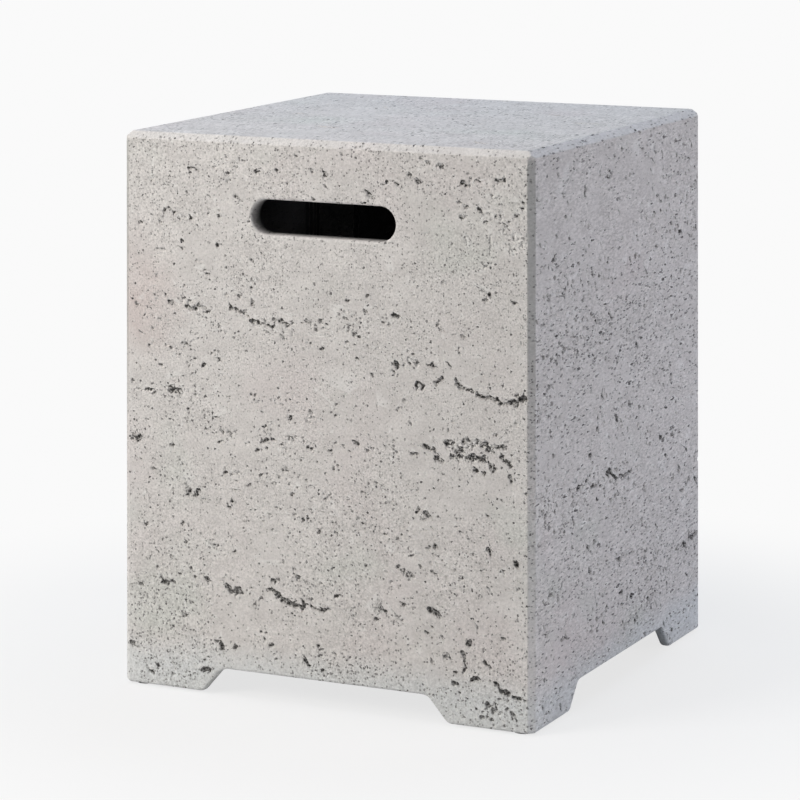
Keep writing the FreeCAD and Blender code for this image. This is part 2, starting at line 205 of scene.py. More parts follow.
# voids of the front face: width, depth and the places that each passes, all in mm on the face
FRONT_VOIDS = (
    (4.5, 3, (129, 306), (137, 301), (146, 298), (156, 296)),
    (5.5, 3.2, (150, 296), (163, 294), (175, 292), (185, 292), (193, 298)),
    (9, 3, (122, 252), (133, 248)), (8, 2.4, (138, 252), (150, 254), (160, 251)),
    (6, 2.4, (166, 253), (176, 252)), (7, 3, (126, 240), (142, 239), (155, 242)),
    (6, 3, (158, 240), (166, 233)), (5, 2.6, (172, 245), (179, 238)),
    (4, 2.4, (147, 231), (155, 229)), (4, 2, (164, 231)), (3.5, 1.8, (180, 228), (182, 221)),
    (6.5, 3.2, (91, 300), (96, 300)), (4, 2.6, (108, 304), (116, 308)),
    (4.5, 2.8, (71, 318), (73, 316)), (6, 2.4, (85, 322), (91, 320)),
    (4.5, 2.4, (103, 318), (106, 320)), (3, 2, (79, 324)), (3, 1.8, (120, 322), (126, 318)),
    (6, 2.8, (-133, 354), (-124, 353)), (3, 2.2, (-128, 352), (-122, 355), (-115, 352)),
    (3, 1.8, (-118, 350), (-113, 351)), (5, 3, (-91, 355), (-87, 355)),
    (3.6, 2.6, (-87, 355), (-77, 352), (-71, 346), (-62, 344), (-52, 343)),
    (2.8, 2, (-48, 348), (-40, 347), (-36, 344), (-29, 346)),
    (3.4, 2.2, (-132, 478), (-127, 479), (-122, 475)), (4.5, 2.6, (-153, 357), (-151, 356)),
    (4.5, 2.6, (-152, 275), (-147, 278), (-143, 277)),
    (2.4, 1.6, (-190, 274), (-178, 276), (-168, 275)),
    (2.4, 1.8, (-158, 438), (-153, 441), (-147, 437)), (2, 1.4, (-167, 404), (-157, 404)),
    (4, 2.4, (-140, 407)), (3.2, 2, (-103, 411), (-100, 412)), (4, 2.4, (-83, 367)),
    (4, 2.4, (-71, 364), (-69, 361)), (2.6, 1.8, (-135, 304), (-133, 299)),
    (3, 1.8, (-120, 301), (-117, 303)), (3, 2, (-44, 480)), (4, 2.2, (-65, 478), (-62, 478)),
    (4, 2.6, (2, 480), (3, 478)), (3.4, 2.2, (42, 467), (47, 461)), (5, 2.8, (84, 483)),
    (3.6, 2.2, (90, 479), (93, 476)), (3.6, 2.2, (72, 475), (77, 471)),
    (5, 2.4, (112, 492), (114, 490)), (3, 1.8, (93, 497), (103, 493)),
    (4, 2.4, (134, 478), (137, 476)), (3.6, 2.2, (165, 481), (173, 482)),
    (3, 1.8, (149, 458), (152, 454)), (3.4, 2, (131, 449), (133, 447)),
    (3.2, 2.2, (160, 385), (160, 381)), (3, 1.8, (155, 379), (158, 379)),
    (3, 1.8, (182, 379), (186, 378)), (4.2, 2.4, (42, 362), (44, 361)),
    (4.2, 2.2, (69, 360), (73, 359)), (3.4, 2, (85, 356)), (3.4, 2, (111, 355), (115, 350)),
    (6, 2.4, (-192, 231), (-186, 231)), (3, 1.8, (-190, 214), (-181, 209)),
    (5, 2.4, (-134, 183), (-128, 182)), (3.4, 2.4, (-134, 185), (-133, 188)),
    (3.4, 2.4, (-126, 184), (-125, 188)), (4.6, 2.4, (-60, 239), (-54, 240)),
    (3, 1.8, (-103, 234), (-99, 236)), (1.8, 1.2, (-90, 192), (-82, 192)),
    (3.2, 2, (-142, 155), (-140, 157)), (5, 2.2, (-97, 102), (-90, 99), (-83, 101)),
    (2.6, 2, (-92, 97), (-80, 98)), (5, 3, (-56, 103), (-47, 102), (-42, 99)),
    (4.4, 3.2, (-43, 99), (-38, 95), (-32, 92), (-21, 91)),
    (3, 2.6, (-22, 99), (-19, 95), (-18, 91)), (3, 2.2, (-12, 93), (-2, 91), (8, 91)),
    (4.6, 2.2, (-161, 100), (-156, 99)), (4.4, 2.4, (-118, 107), (-114, 106)),
    (3, 1.8, (-123, 111)), (4, 1.8, (-50, 112), (-45, 114)),
    (2.8, 2, (-142, 73), (-135, 72), (-133, 75)), (3.8, 2.8, (-103, 50), (-101, 44)),
    (3.2, 2.2, (-88, 47), (-86, 48)), (4.8, 3.2, (-17, 42), (-14, 38)),
    (4.6, 2.6, (-120, 22), (-112, 22)), (3.6, 2.4, (-170, 23), (-168, 20)),
    (3.4, 1.8, (-177, 15), (-174, 14)), (4, 2.4, (-4, 57)),
    (4, 2.6, (104, 103), (111, 101), (115, 98)), (5.4, 3.2, (128, 40), (132, 39)),
    (4.6, 2.6, (144, 43), (149, 46), (152, 44)), (3.8, 2.6, (108, 58), (108, 56)),
    (5, 1.8, (121, 62), (126, 61)), (3, 1.6, (136, 70), (139, 62), (140, 54), (137, 48)),
    (2.6, 1.4, (146, 99), (151, 93), (150, 87)), (4.2, 2.8, (143, 79), (143, 75)),
    (4.4, 3, (168, 43), (174, 38), (181, 36)), (3.4, 2.6, (180, 37), (187, 33), (196, 32)),
    (2.6, 1.8, (158, 62), (164, 57)), (4, 2.2, (160, 24), (163, 22)),
    (2.4, 1.6, (168, 28), (170, 20), (166, 16)), (3, 1.6, (184, 20), (188, 13)),
    (4.6, 3, (161, 162), (163, 158)), (4, 2.8, (186, 153), (187, 151)),
    (4.2, 2.4, (92, 190), (95, 192)), (4.2, 2.6, (100, 188), (104, 187)), (3.4, 2.2, (99, 182)),
    (4, 1.4, (79, 134), (85, 130)), (3.6, 1.4, (86, 134), (89, 130)), (3, 2, (62, 166)),
    (3.8, 2.4, (77, 106), (80, 105)), (2.6, 1.8, (106, 137), (112, 135)),
    (3.8, 2.2, (88, 240), (92, 239)), (4.4, 2.6, (109, 237), (116, 237)),
    (4.4, 2.4, (100, 247), (108, 244)), (3.4, 1.8, (31, 246), (35, 244)),
    (1.9, 1.1, (160, 434), (160, 427), (160, 419)), (15, 0.9, (174, 437), (183, 434), (192, 430)),
    (13, 0.8, (170, 428), (180, 424)), (7, 0.9, (137, 432), (141, 423)),
    (2.2, 1.3, (169, 453), (171, 447), (175, 443)),
    (1.6, 0.45, (-182, 134), (-160, 133), (-135, 134), (-112, 132), (-98, 133)),
    (1.6, 0.4, (88, 126), (120, 125), (150, 126), (190, 125)),
    (1.6, 0.4, (-60, 338), (-20, 336), (20, 337)),
)

# the level beds that hold most small pits: left, right, level and thickness, in mm on the face
FRONT_BEDS = (
    (-195, 60, 244, 6), (0, 120, 243, 5), (-60, 40, 236, 8), (-190, -20, 277, 3), (-60, 10, 265, 6),
    (-185, -100, 352, 12), (-60, 10, 345, 8), (-110, -60, 470, 14), (20, 130, 325, 12),
    (-10, 60, 348, 12), (120, 190, 465, 14), (-180, -60, 330, 10), (-60, 20, 165, 10),
    (-40, 120, 90, 10), (30, 110, 165, 12), (-190, -60, 100, 8), (-120, 60, 50, 7),
    (60, 190, 135, 6), (-100, 40, 205, 5), (140, 190, 20, 7),
)

# the same for the right wall
SIDE_VOIDS = (
    (4.6, 2.6, (-37, 200), (-26, 201), (-19, 195)),
    (3, 2.2, (-19, 195), (-8, 191), (4, 191), (25, 192)), (4, 2.2, (-72, 196), (-60, 195)),
    (3.4, 2, (-104, 201), (-98, 201)), (6, 3, (144, 172), (147, 169)),
    (4.4, 2.4, (126, 163), (131, 165)), (6, 3, (149, 149), (154, 149)),
    (4.6, 2.4, (165, 153), (172, 156)), (5, 2.4, (187, 153), (192, 150)),
    (4.4, 2.6, (96, 210), (99, 210)), (3.8, 2.2, (124, 208), (128, 208)),
    (6, 2.4, (-30, 470), (-24, 471)), (3.6, 2, (-84, 466), (-86, 458)),
    (4, 2.2, (20, 388), (23, 386)), (3.6, 2, (32, 389), (35, 391)),
    (4, 2.2, (145, 397), (152, 396)), (3.4, 2, (84, 392), (88, 392)),
    (4, 2, (-82, 143), (-78, 141)), (4, 2, (-66, 144), (-63, 144)),
    (3, 1.8, (-142, 72), (-126, 71)), (4, 2.4, (-4, 83), (0, 84)), (5, 2.4, (176, 97), (192, 98)),
    (4.6, 2.2, (158, 95), (163, 92)), (3.6, 2.4, (57, 30), (60, 30)), (3, 2, (-145, 14), (-142, 8)),
    (3, 2, (-184, 22), (-182, 20)), (3, 1.8, (-92, 366), (-88, 370)),
    (3.4, 1.8, (36, 307), (39, 305)),
)

SIDE_BEDS = (
    (-180, 30, 200, 7), (20, 190, 95, 6), (-180, 100, 117, 3), (-180, 190, 75, 6),
    (-170, -20, 385, 7), (-180, 60, 180, 10), (60, 190, 455, 16), (-150, -20, 330, 10),
    (-190, -150, 330, 60), (-60, 60, 255, 14), (0, 100, 55, 8), (60, 190, 410, 12),
)


def plain_beds(seed, low, high):
    """Beds for a hidden face or the top: random spans at random heights."""
    draw = np.random.default_rng(seed)
    beds = []
    for _ in range(16):
        left = draw.uniform(-195, 60)
        right = left + draw.uniform(60, 200)
        beds.append((left, right, draw.uniform(low, high), draw.uniform(3, 12)))
    return beds


def plain_cracks(face, seed, count, low, high):
    """Ragged voids for a hidden face or the top, each a short wandering line, nearly level."""
    draw = np.random.default_rng(seed)
    for _ in range(count):
        runs = draw.integers(1, 5)
        width = draw.uniform(2.5, 5.5)
        steps = np.column_stack((draw.uniform(4, 9, runs), draw.normal(0, 2, runs)))
        start = (draw.uniform(-190, 160), draw.uniform(low, high))
        line = np.vstack((start, start + np.cumsum(steps, 0)))
        face.carve(line, width, width * draw.uniform(0.45, 0.7))


WALL_MAPS = [FaceMap(0, HEIGHT, seed) for seed in (100, 200, 300, 400)]
front_map, right_map, back_map, left_map = WALL_MAPS
front_map.carve_all(FRONT_VOIDS)
front_map.pepper(1000, FRONT_BEDS, size=(0.65, 1.5))
right_map.carve_all(SIDE_VOIDS)
right_map.pepper(1250, SIDE_BEDS, size=(0.7, 1.6))
for face, seed, count in ((back_map, 31, 34), (left_map, 41, 30)):
    plain_cracks(face, seed, count, 15, 495)
    face.pepper(380, plain_beds(seed + 1, 20, 490))

top_map = FaceMap(-FACE_HALF, FACE_HALF, 500)
plain_cracks(top_map, 51, 5, -185, 185)
top_map.pepper(160, plain_beds(52, -190, 190), size=(0.5, 1))

# columns: straight through each wall's middle span, then round the corner to the next wall in
# five parts: a run, a ridge, the flat bevel, a ridge and a run
straight = np.linspace(-SPAN, SPAN, int(2 * SPAN / CELL) + 1)
part_counts = (66, 4, 6, 4, 66)
bend = np.concatenate([part + np.arange(n) / n for part, n in enumerate(part_counts)])[1:]
per_wall = len(straight) + len(bend)
wall_of = np.repeat(np.arange(4), per_wall)
through = np.tile(np.concatenate((straight, np.full(len(bend), SPAN))), 4)
turn = np.tile(np.concatenate((np.zeros(len(straight)), bend)), 4)
turning = turn > 0
past_middle = turn > len(part_counts) / 2
COLUMNS = len(through)


def bevelled_ring(half, leg, shift=0.0):
    """A square with bevelled corners seen from above, column by column, where each ridge is an arc
    of an eighth of a turn, smaller on a short bevel. Gives the place along the wall, the distance
    out and the facing angle. The second half of each corner is the first half mirrored about the
    diagonal."""
    half, leg = np.broadcast_arrays(half, np.maximum(leg, LEAST_BEVEL))
    ridge = np.minimum(RIDGE, 1.7 * leg)
    tangent = ridge * np.tan(np.pi / 8)
    part = np.where(past_middle, len(part_counts) - turn, turn)
    start = half - leg - tangent
    angle = np.clip(part - 1, 0, 1) * np.pi / 4
    flat = np.clip(part - 2, 0, 1) * (leg * np.sqrt(2) - 2 * tangent) / np.sqrt(2)
    along = SPAN + np.minimum(part, 1) * (start - SPAN) + ridge * np.sin(angle) + flat
    out = half - ridge + ridge * np.cos(angle) - flat
    along, out = np.where(past_middle, out, along), np.where(past_middle, along, out)
    angle = np.where(past_middle, np.pi / 2 - angle, angle)
    along = np.where(turning, along, through + shift)
    out = np.where(turning, out, half)
    return along, out, np.where(turning, angle, 0)


# how far round its corner each column has come at the sole
base_plan = np.stack(bevelled_ring(BASE_HALF, CORNER_BEVEL)[:2], -1)
travelled = np.hypot(*np.diff(base_plan, axis=0, prepend=base_plan[:1]).T)
travelled = np.where(turning, travelled, 0).reshape(4, -1)
# the last step of each corner leads to the next wall's first column
whole = travelled[0].sum() + (BASE_HALF - SPAN - CORNER_BEVEL) / part_counts[-1]
corner_share = (np.cumsum(travelled, 1) / whole).ravel()


def rounded_ring(half, corner, shift=0.0):
    """A rounded square seen from above, column by column: along a wall, then by arc length round
    its corner (run, arc, run). Gives the place along the wall and the distance out."""
    half, corner = np.broadcast_arrays(half, corner)
    run = half - corner - SPAN
    arc = np.pi / 2 * corner
    way = corner_share * (2 * run + arc)
    angle = np.clip((way - run) / corner, 0, np.pi / 2)
    along = np.where(turning, SPAN + np.minimum(way, run) + corner * np.sin(angle), through + shift)
    past = np.maximum(way - run - arc, 0)
    return along, np.where(turning, half - corner + corner * np.cos(angle) - past, half)


def in_room(along, out, level):
    """Turn a place along a wall, its distance out and its height into X, Y and Z."""
    plan = along[..., None] * ALONG[wall_of] + out[..., None] * OUTWARD[wall_of]
    return np.concatenate((plan, np.broadcast_to(level, along.shape)[..., None]), -1)


def facing(angle):
    """The level direction that a column faces, turned by an angle from its wall's way out."""
    return np.sin(angle)[..., None] * ALONG[wall_of] + np.cos(angle)[..., None] * OUTWARD[wall_of]


def notch_line(along):
    """Height of the foot line above the sole, and its slope angle: level, round the heel, up the
    slope, round the crook, level. The arcs are tangent to the straight lines."""
    slope = np.arctan2(NOTCH_TOP, NOTCH_FOOT - NOTCH_REACH)
    angles = np.linspace(0, slope, 12)
    heel = HEEL_ROUND * np.tan(slope / 2)
    heel_u = NOTCH_FOOT + heel - HEEL_ROUND * np.sin(angles)
    heel_v = HEEL_ROUND - HEEL_ROUND * np.cos(angles)
    crook = NOTCH_CROOK * np.tan(slope / 2)
    crook_u = NOTCH_REACH - crook + NOTCH_CROOK * np.sin(angles[::-1])
    crook_v = NOTCH_TOP - NOTCH_CROOK + NOTCH_CROOK * np.cos(angles[::-1])
    u = np.concatenate(((1,), heel_u, crook_u, (0,)))[::-1]
    v = np.concatenate(((0,), heel_v, crook_v, (NOTCH_TOP,)))[::-1]
    lean = np.concatenate(((0,), angles, angles[::-1], (0,)))[::-1]
    return np.interp(np.abs(along), u, v), np.interp(np.abs(along), u, lean)


rim_rise, rim_lean = notch_line(through)
rim_level = SOLE + np.where(turning, 0, rim_rise)
rim_lean = np.where(turning, 0, rim_lean)
rim_side = np.sin(rim_lean) * np.sign(through)
rim_up = np.cos(rim_lean)


def outer_half(level):
    """Half the outside width at a height: it shrinks with the mould's draft."""
    return BASE_HALF - (level - SOLE) * OUTER_LEAN


def inner_half(level):
    """Half the hollow's width at a height."""
    return INNER_HALF - (level - SOLE) * INNER_LEAN


def share(count):
    """Evenly spaced numbers from 0 to 1 as a column."""
    return np.linspace(0, 1, count)[:, None]


# rows, from the middle of the table top to the middle of the roof inside; the top bevel is an arc
# of an eighth of a turn, a flat and another arc
tangent = RIDGE * np.tan(np.pi / 8)
arc = share(5) * np.pi / 4
flat = share(8)[1:-1] * (TOP_BEVEL - 2 * tangent / np.sqrt(2))
upper_in = TOP_BEVEL + tangent - RIDGE * np.sin(arc)
upper_down = RIDGE - RIDGE * np.cos(arc)
brow_in = np.concatenate((upper_in, upper_in[-1] - flat, upper_down[::-1]))
brow_down = np.concatenate((upper_down, upper_down[-1] + flat, upper_in[::-1]))
brow_tilt = np.concatenate((arc, 0 * flat + np.pi / 4, np.pi / 2 - arc[::-1]))
edge_level = HEIGHT - brow_down
edge_half = outer_half(edge_level) - brow_in
along, out, brow_angle = bevelled_ring(edge_half, CORNER_BEVEL - 2 * brow_in)
brow = in_room(along, out, edge_level)

shrunk = np.linspace(0, 1, int(edge_half[0, 0] / (1.15 * CELL)))[1:-1, None, None]
table = brow[:1] * np.array((1, 1, 0)) * shrunk + np.array((0, 0, HEIGHT))

wall_top = edge_level[-1, 0]
fall = np.linspace(0, 1, int((wall_top - SOLE) / CELL))[1:, None]
start_level = rim_level + rim_up * OUTER_RIM
wall_level = wall_top + fall * (start_level - wall_top)
wall_shift = rim_side * OUTER_RIM * fall
along, out, wall_angle = bevelled_ring(outer_half(wall_level), CORNER_BEVEL, wall_shift)
walls = in_room(along, out, wall_level)

curl = share(5)[1:] * np.pi / 2
inward, lift = OUTER_RIM * (1 - np.cos(curl)), OUTER_RIM * (1 - np.sin(curl))
level = rim_level + rim_up * lift
leg = CORNER_BEVEL - (2 - np.sqrt(2)) * inward
along, out, _ = bevelled_ring(outer_half(level) - inward, leg, rim_side * lift)
outer_rim = in_room(along, out, level)

curl = share(4) * np.pi / 2
inward, lift = INNER_RIM * (1 - np.sin(curl)), INNER_RIM * (1 - np.cos(curl))
level = rim_level + rim_up * lift
along, out = rounded_ring(inner_half(level) + inward, INNER_ROUND + inward, rim_side * lift)
inner_rim = in_room(along, out, level)

inwards = np.linspace(0, 1, 14)[1:-1, None, None]
sole = outer_rim[-1:] * (1 - inwards) + inner_rim[:1] * inwards

# hand slots: a line SLOT_REACH to each side of the middle, with half circles of SLOT_ROUND at its
# ends; each takes the place of a block of grid cells, FRAME_REACH beyond that line
SLOT_LEVEL = 438.5 * MM
SLOT_REACH = 54.5 * MM
SLOT_ROUND = 15.5 * MM
SLOT_LIP = 2.5 * MM
SLOT_BEVEL = 2 * MM
SLOT_DEPTH = 19 * MM
COLLAR_ROUND = 30.5 * MM
COLLAR_FACE = outer_half(SLOT_LEVEL) - SLOT_DEPTH
FRAME_REACH = 38 * MM

middle = int(np.argmin(np.abs(straight)))
slot_rows = np.flatnonzero(np.abs(walls[:, middle, 2] - SLOT_LEVEL) <= FRAME_REACH)
slot_high, slot_low = slot_rows[0], slot_rows[-1]
slot_columns = np.flatnonzero(np.abs(straight) <= SLOT_REACH + FRAME_REACH)

inner_top = ROOF - ROOF_ROUND
inner_start = rim_level + rim_up * INNER_RIM
below = share(16)[1:-1]
slot_bottom_level, slot_top_level = walls[slot_low, middle, 2], walls[slot_high, middle, 2]
lower = inner_start + below * (slot_bottom_level - inner_start)
beside = walls[slot_high : slot_low + 1, middle, 2][::-1, None] * np.ones(COLUMNS)
upper = slot_top_level + share(5)[1:] * (inner_top - slot_top_level) * np.ones(COLUMNS)
inner_level = np.concatenate((lower, beside, upper))
fade = np.clip((slot_bottom_level - inner_level) / (slot_bottom_level - inner_start), 0, 1)
along, out = rounded_ring(inner_half(inner_level), INNER_ROUND, rim_side * INNER_RIM * fade)
inside = in_room(along, out, inner_level)

quarter = share(6)[1:] * np.pi / 2
half = inner_half(inner_top) - ROOF_ROUND * (1 - np.cos(quarter))
corner = INNER_ROUND - ROOF_ROUND * (1 - np.cos(quarter))
along, out = rounded_ring(half, corner)
cove = in_room(along, out, inner_top + ROOF_ROUND * np.sin(quarter))
shrunk = np.linspace(1, 0, 7)[1:-1, None, None]
roof = cove[-1:] * np.array((1, 1, 0)) * shrunk + np.array((0, 0, ROOF))


WEAR_REACH = 7 * MM
RUBBED_DEPTH = 0.3 * MM
CHIP_DEPTH = 0.7 * MM


def edge_wear(points):
    """How far the casting's outer edges are rubbed away: noise and a few chips. They fade with the
    second smallest of the distances to the planes of the two nearest walls and the top."""
    x, y, z = points[..., 0], points[..., 1], points[..., 2]
    half = outer_half(z)
    gaps = np.sort(np.stack((half - np.abs(x), half - np.abs(y), HEIGHT - z), -1), -1)
    near = s_curve(1 - gaps[..., 1] / WEAR_REACH)
    grain = rough(x + 1.7 * z, y - 1.3 * z, 5 * MM, 3) + 0.6 * rough(x - y, z + x, 17 * MM, 4)
    chip = s_curve((rough(x + z, y + 0.7 * z, 9 * MM, 8) - 0.42) / 0.12)
    return near * (RUBBED_DEPTH * np.maximum(grain, -0.4) + CHIP_DEPTH * chip)


def wall_depth(along, level, wall, aside=0.0, drop=0.0):
    """Read each wall's own map, a little aside of each place and below it if asked. It fades out at
    the corners, where two maps would meet, under the top edge and towards the foot line."""
    depth = np.zeros(np.broadcast(along, level).shape)
    for k, face in enumerate(WALL_MAPS):
        depth = np.where(wall == k, face.read(along + aside, level - drop), depth)
    at_corner = s_curve((outer_half(level) - 2.5 * MM - np.abs(along)) / (4 * MM))
    at_top = s_curve((HEIGHT - 4 * MM - level) / (3 * MM))
    at_foot = s_curve((level - rim_level) / (5 * MM))
    return depth * at_corner * at_top * at_foot


wall_number = (wall_of + np.where(past_middle, 1, 0)) % 4
wall_along = (walls[..., :2] * ALONG[wall_number]).sum(-1)
wall_cut = wall_depth(wall_along, wall_level, wall_number)
# painted shade sits under a hollow's upper edge, so its colour is read a little lower and aside
wall_shade = wall_depth(wall_along, wall_level, wall_number, 0.5 * MM, 0.7 * MM)
# lighter along the corner ridges, partly from wear and partly painted highlight
from_ridge = np.abs(wall_along) - (outer_half(wall_level) - CORNER_BEVEL - 1.5 * MM)
wall_wear_and_shading = np.exp(-((from_ridge / (2.2 * MM)) ** 2))
wall_wear_and_shading *= 0.6 + 0.5 * noise(wall_along, wall_level, 14 * MM, 6)
# painted light and shade on the corner bevels: lighter near the foot, and darker further up
bevel_light_and_shade = np.interp(wall_level, np.array((60, 200, 340, 440)) * MM, (1.2, 0.2, -0.9, -1.0))
facet = np.sin(2 * wall_angle) ** 2
wall_wear_and_shading = wall_wear_and_shading * (1 - facet) + bevel_light_and_shade * facet
walls[..., :2] -= (wall_cut + edge_wear(walls))[..., None] * facing(wall_angle)

near_edge = edge_half[0, 0] - np.maximum(np.abs(table[..., 0]), np.abs(table[..., 1]))
table_cut = top_map.read(table[..., 0], table[..., 1])
table_cut *= s_curve((near_edge - MM) / (4 * MM))
table[..., 2] -= table_cut + edge_wear(table)

brow_wear = edge_wear(brow)
brow[..., :2] -= (brow_wear * np.sin(brow_tilt))[..., None] * facing(brow_angle)
brow[..., 2] -= brow_wear * np.cos(brow_tilt)

rows = np.concatenate((table, brow, walls, outer_rim, sole, inner_rim, inside, cove, roof))
ROWS = len(rows)
first_wall = len(table) + len(brow)
first_inside = first_wall + len(walls) + len(outer_rim) + len(sole) + len(inner_rim)
# read by the stone's material: depth in a void, read lower and aside on the walls to place painted
# shade; the share without the facing mix, which takes painted shade; and wear with painted
# highlight, which is below zero where a corner bevel gets painted shade
carved, inside_shade, wear_and_shading = np.zeros((3, ROWS, COLUMNS))
carved[: len(table)] = table_cut
carved[first_wall : first_wall + len(walls)] = wall_shade
# the inside gets painted shade, near black, over its bare concrete
inside_shade[first_inside:] = 1
# painted highlight along the top bevel, strongest on its flat
wear_and_shading[len(table) : first_wall] = 0.75 * np.sin(2 * brow_tilt)
wear_and_shading[first_wall : first_wall + len(walls)] = wall_wear_and_shading
index = np.arange(ROWS * COLUMNS).reshape(ROWS, COLUMNS)


def quads(upper, lower):
    """Join two lists of corner numbers that run side by side into four-sided faces."""
    return np.stack((upper[..., :-1], lower[..., :-1], lower[..., 1:], upper[..., 1:]), -1)


def halves(faces):
    """Cut each four-sided face in two along the diagonal from its first corner."""
    return np.concatenate((faces[:, (0, 1, 2)], faces[:, (0, 2, 3)]))


def fan(centre, ring):
    """Fill a closed ring of corner numbers with triangles that meet at one in its middle."""
    return np.stack((np.full(len(ring) - 1, centre), ring[:-1], ring[1:]), -1)


wrapped = np.concatenate((index, index[:, :1]), 1)
cells = quads(wrapped[:-1], wrapped[1:])
keep = np.ones(cells.shape[:2], bool)

# the slots: the grid's cells are left out there, and rings of new ones join the two openings
outer_rows = (first_wall + slot_high, first_wall + slot_low)
inner_rows = (first_inside + len(lower), first_inside + len(lower) + len(beside) - 1)
points, cuts, inside_shades = [rows.reshape(-1, 3)], [carved.ravel()], [inside_shade.ravel()]
rubs_and_shading = [wear_and_shading.ravel()]
used = ROWS * COLUMNS
faces = []


def border(top, bottom, left, right):
    """The corner numbers round a block of the grid, clockwise from its top left, where the top row
    may have the higher number, as on the inside, whose rows climb."""
    down = 1 if bottom > top else -1
    there = (index[top, left:right], index[top:bottom:down, right])
    return np.concatenate((*there, index[bottom, right:left:-1], index[bottom:top:-down, left]))


# a slot's profile from the face in, as distances from the line and depths: over the face to the
# mouth, round the lip, down the bore, which is a little uneven, the bevel, and out over the collar
mouth = SLOT_ROUND + SLOT_LIP
shares = share(int((FRAME_REACH - mouth) / CELL))[1:]
lip = np.linspace(0, np.pi / 2, 6)[1:]
bore = np.linspace(SLOT_LIP, SLOT_DEPTH - SLOT_BEVEL, 11)[1:]
round_lip, past_bore = mouth - SLOT_LIP * np.sin(lip), (SLOT_ROUND + SLOT_BEVEL, COLLAR_ROUND)
past_mouth = np.concatenate((round_lip, SLOT_ROUND + 0 * bore, past_bore))[:, None]
lip_depth = SLOT_LIP * (1 - np.cos(lip))
depth = np.concatenate((0 * shares[:, 0], lip_depth, bore, (SLOT_DEPTH, SLOT_DEPTH)))[:, None]
part = depth / SLOT_DEPTH
uneven = 0.25 * MM * s_curve((depth - SLOT_LIP) / (4 * MM)) * (part < 0.85)

for wall in (0, 2):
    left, right = wall * per_wall + slot_columns[[0, -1]]
    keep[outer_rows[0] : outer_rows[1], left:right] = False
    keep[inner_rows[0] : inner_rows[1], left:right] = False
    outside_loop = border(*outer_rows, left, right)
    inside_loop = border(inner_rows[1], inner_rows[0], left, right)
    start = rows.reshape(-1, 3)[outside_loop]
    u = start[:, :2] @ ALONG[wall]
    v = start[:, 2] - SLOT_LEVEL
    spine = np.clip(u, -SLOT_REACH, SLOT_REACH)
    reach = np.hypot(u - spine, v)
    way_u, way_v = (u - spine) / reach, v / reach
    to_mouth = reach + shares * (mouth - reach)
    radius = np.concatenate((to_mouth, past_mouth * np.ones(len(u))))
    loops_u = spine + way_u * radius
    loops_v = SLOT_LEVEL + way_v * radius
    tube_cut = WALL_MAPS[wall].read(loops_u, loops_v) * (depth < 0.3 * MM)
    out = outer_half(loops_v) * (1 - part) + COLLAR_FACE * part - tube_cut
    loops_u += way_u * uneven * rough(loops_u + loops_v, out, 4 * MM, 21)
    loops_v += way_v * uneven * rough(loops_u - loops_v, out, 4 * MM, 22)
    foot_u, foot_v = spine + way_u * COLLAR_ROUND, SLOT_LEVEL + way_v * COLLAR_ROUND
    loops_u, loops_v = np.vstack((loops_u, foot_u)), np.vstack((loops_v, foot_v))
    out = np.vstack((out, inner_half(foot_v)))
    plan = loops_u[..., None] * ALONG[wall] + out[..., None] * OUTWARD[wall]
    tube = np.concatenate((plan, loops_v[..., None]), -1)
    points.append(tube.reshape(-1, 3))
    cuts.append(np.vstack((tube_cut, 0 * foot_u)).ravel())
    # the lip is rubbed light, with painted highlight
    lips_rubbed_and_lit = np.append(s_curve(1 - np.abs(depth[:, 0] - MM) / (1.6 * MM)), 0)
    rubs_and_shading.append((0.5 * lips_rubbed_and_lit * (np.append(radius[:, 0], 0) < mouth + 2 * MM)).repeat(len(u)))
    # the bore shows ever less of the facing mix towards the inside, and painted shade darkens it
    past_lip = np.append(depth[:, 0], SLOT_DEPTH) - SLOT_LIP
    inside_shades.append(np.clip(past_lip / (SLOT_DEPTH - SLOT_LIP - SLOT_BEVEL), 0, 1).repeat(len(u)))
    numbers = used + np.arange(out.size).reshape(out.shape)
    used += numbers.size
    loops = np.vstack((outside_loop, numbers, inside_loop))
    loops = np.concatenate((loops, loops[:, :1]), 1)
    faces.append(quads(loops[:-1], loops[1:]).reshape(-1, 4))

skin = halves(np.concatenate(faces + [cells[keep]]))
top_middle, roof_middle = fan(used, wrapped[0]), fan(used + 1, wrapped[-1])[:, (0, 2, 1)]
triangles = np.concatenate((skin, top_middle, roof_middle))
points = np.concatenate(points + [np.array(((0, 0, HEIGHT), (0, 0, ROOF)))])
cuts = np.concatenate(cuts + [(0, 0)])
inside_shades = np.concatenate(inside_shades + [(0, 1)])
rubs_and_shading = np.concatenate(rubs_and_shading + [(0, 0)])


def mesh_from(name, points, triangles):
    """Fill a mesh with whole arrays of corners and triangles."""
    mesh = bpy.data.meshes.new(name)
    mesh.vertices.add(len(points))
    mesh.vertices.foreach_set("co", points.astype(np.float32).ravel())
    mesh.loops.add(triangles.size)
    mesh.loops.foreach_set("vertex_index", triangles.astype(np.int32).ravel())
    mesh.polygons.add(len(triangles))
    mesh.polygons.foreach_set("loop_start", np.arange(0, triangles.size, 3, dtype=np.int32))
    mesh.update(calc_edges=True)
    return mesh


def hang(name, mesh):
    """Put a mesh in the scene as an object that stays at the origin."""
    piece = bpy.data.objects.new(name, mesh)
    bpy.context.scene.collection.objects.link(piece)
    return piece


shell = hang("travertine_shell", mesh_from("travertine_shell", points, triangles))
for name, values in (("carved", cuts / MM), ("inside_shade", inside_shades), ("wear_and_shading", rubs_and_shading)):
    layer = shell.data.attributes.new(name, "FLOAT", "POINT")
    layer.data.foreach_set("value", values.astype(np.float32))
